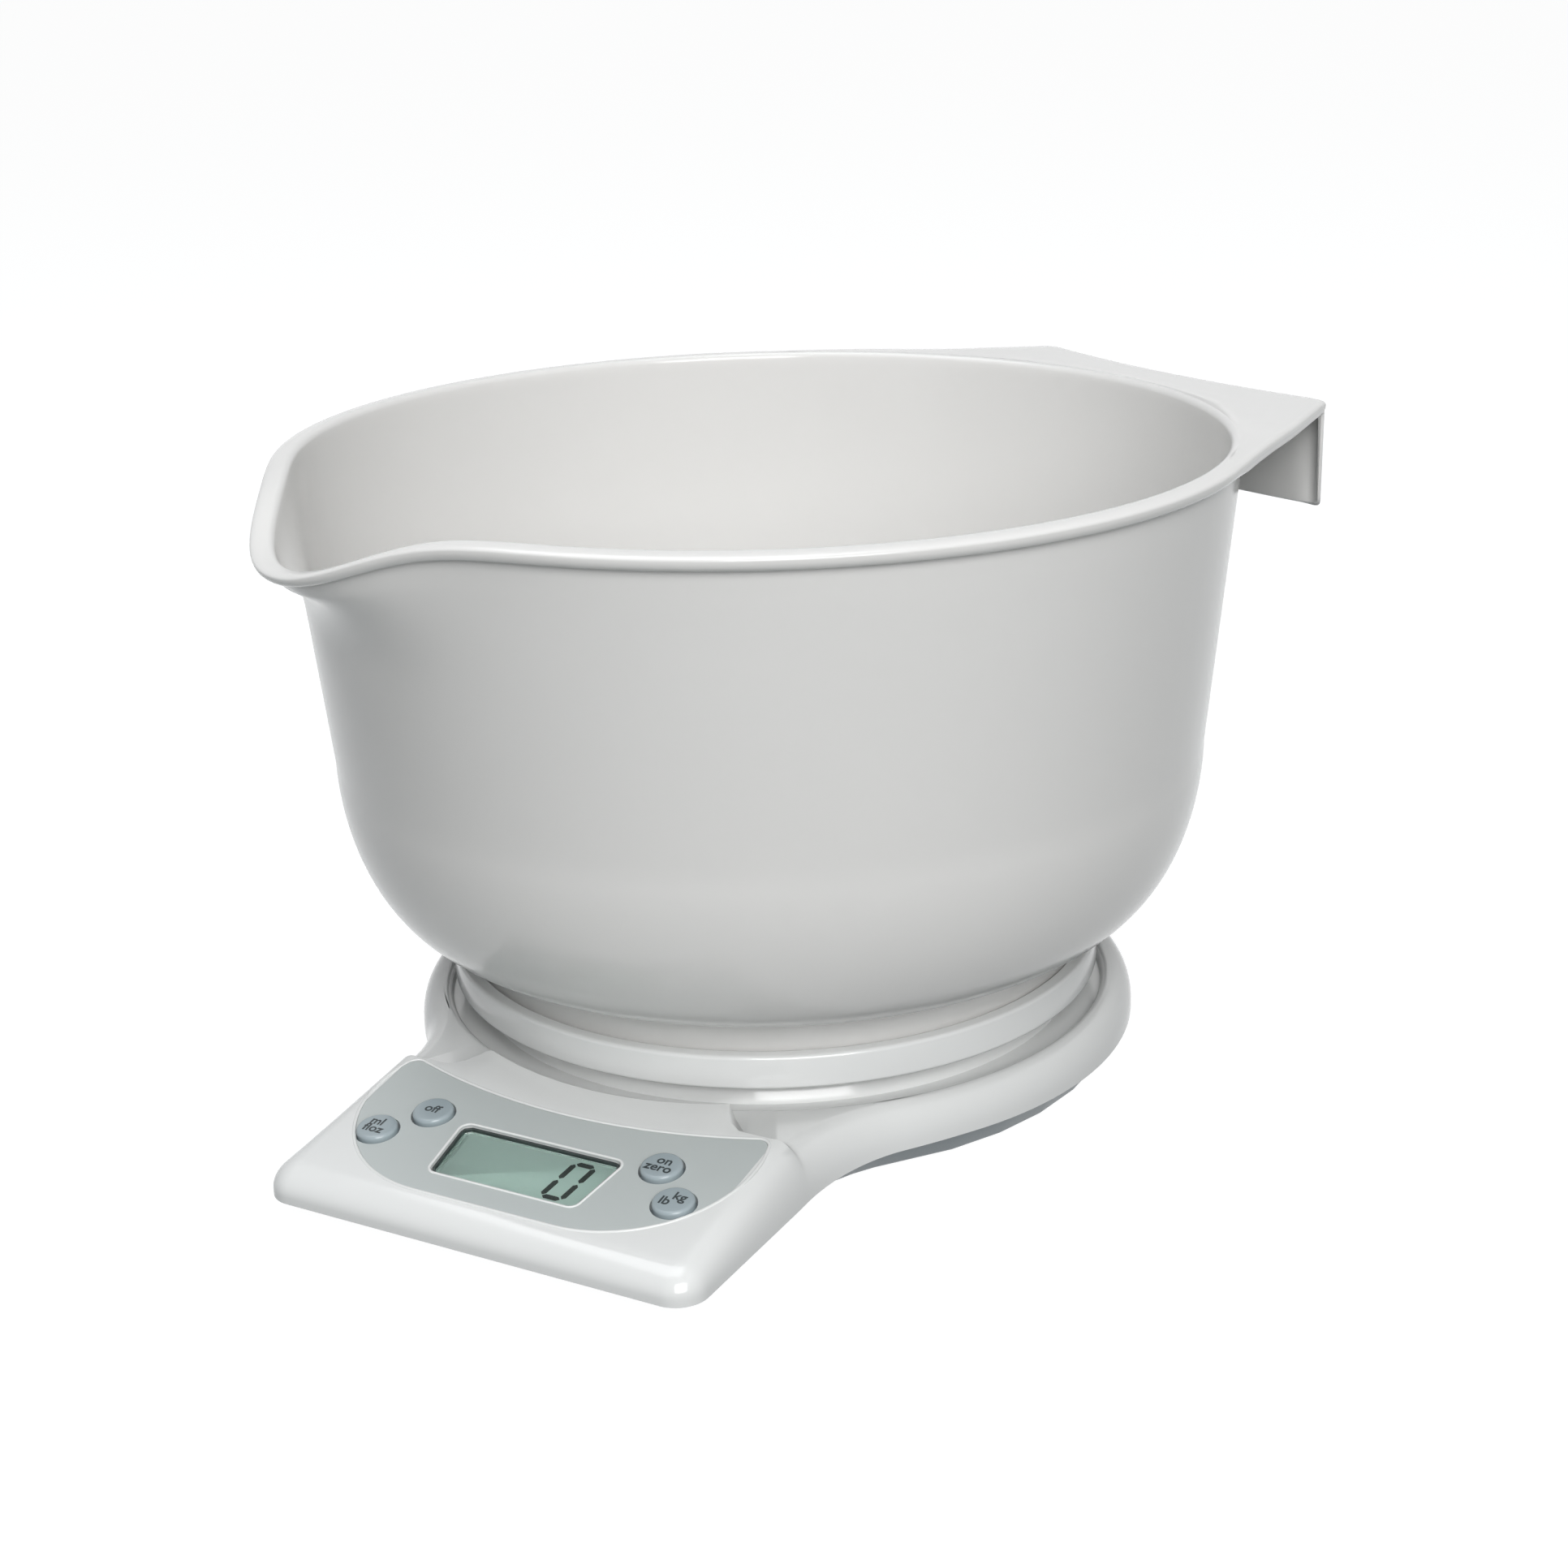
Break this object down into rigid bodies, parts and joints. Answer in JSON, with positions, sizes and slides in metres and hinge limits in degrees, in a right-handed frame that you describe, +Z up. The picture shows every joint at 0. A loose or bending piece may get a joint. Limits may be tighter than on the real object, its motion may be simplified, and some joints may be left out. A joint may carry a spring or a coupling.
{
  "type": "kitchen scale",
  "caption": "White electronic kitchen scale with a round platter, a sloping control panel with a small display, and a lift-off mixing bowl with a pouring spout and a hooked grip",
  "frame": {"origin": "where the weighing axis of the platter meets the table, which is also the middle of the part's footprint", "axes": "+Z up, out of the table; -Y towards the control panel and the user; +X to the user's right"},
  "size_m": [0.2222, 0.2704, 0.1485],
  "materials": {
    "bowl_plastic": "moulded white plastic, polished",
    "cover_plastic": "moulded white plastic, polished",
    "grey_plastic": "moulded mid grey plastic",
    "label_film": "printed polyester film, satin",
    "key_plastic": "moulded bluish grey plastic, satin",
    "dark_plastic": "moulded dark plastic",
    "clear_plastic": "clear acrylic",
    "display_glass": "greenish grey liquid crystal display",
    "feet_rubber": "moulded rubber",
    "cell_alloy": "machined aluminium alloy",
    "plate_steel": "zinc plated steel",
    "screw_steel": "zinc plated steel",
    "contact_steel": "nickel plated spring steel",
    "coin_steel": "stainless steel can",
    "board_laminate": "glass fibre laminate, green lacquer",
    "gauge_foil": "etched foil on film",
    "cable_jacket": "soft cable jacket"
  },
  "bodies": {
    "base": {"load_cell": "cell_alloy", "strain_gauges": "gauge_foil", "cell_screws": "screw_steel", "top_cover": "cover_plastic", "bottom_cover": "grey_plastic", "case_screws": "screw_steel", "rubber_feet": "feet_rubber", "control_label": "label_film", "display_frame": "dark_plastic", "display_window": "clear_plastic", "display_glass": "display_glass", "contact_strips": "feet_rubber", "circuit_board": "board_laminate", "board_screws": "screw_steel", "chip_cover": "dark_plastic", "board_parts": "dark_plastic", "key_switches": "dark_plastic", "battery_cell": "coin_steel", "contact_plus": "contact_steel", "contact_minus": "contact_steel", "sensor_cable": "cable_jacket", "battery_wires": "cable_jacket"},
    "platform": {"platter": "cover_plastic", "platter_bracket": "plate_steel", "platter_screws": "screw_steel", "bracket_screws": "screw_steel"},
    "bowl": {"bowl": "bowl_plastic"},
    "key_off": {"key_off": "key_plastic"},
    "key_on_zero": {"key_on_zero": "key_plastic"},
    "key_volume": {"key_volume": "key_plastic"},
    "key_weight": {"key_weight": "key_plastic"},
    "battery_cap": {"battery_cap": "grey_plastic"}
  },
  "joints": [
    {"name": "platform_load", "type": "slide", "parent": "base", "child": "platform", "axis": [0, 0, -1], "range_m": [0, 0.0006], "stiffness_N_per_m": 80000, "springref_m": -0.0001, "deforming": ["load_cell"]},
    {"name": "bowl_lift", "type": "slide", "parent": "platform", "child": "bowl", "axis": [0, 0, 1], "range_m": [0, 0.12]},
    {"name": "key_off_press", "type": "slide", "parent": "base", "child": "key_off", "axis": [0, 0.158, -0.9874], "range_m": [0, 0.0007], "stiffness_N_per_m": 3000, "springref_m": -0.0002},
    {"name": "key_on_zero_press", "type": "slide", "parent": "base", "child": "key_on_zero", "axis": [0, 0.158, -0.9874], "range_m": [0, 0.0007], "stiffness_N_per_m": 3000, "springref_m": -0.0002},
    {"name": "key_volume_press", "type": "slide", "parent": "base", "child": "key_volume", "axis": [0, 0.158, -0.9874], "range_m": [0, 0.0007], "stiffness_N_per_m": 3000, "springref_m": -0.0002},
    {"name": "key_weight_press", "type": "slide", "parent": "base", "child": "key_weight", "axis": [0, 0.158, -0.9874], "range_m": [0, 0.0007], "stiffness_N_per_m": 3000, "springref_m": -0.0002},
    {"name": "battery_cap_turn", "type": "hinge", "parent": "base", "child": "battery_cap", "pos_m": [0, -0.045, 0.003], "axis": [0, 0, 1], "range_deg": [0, 40]}
  ]
}
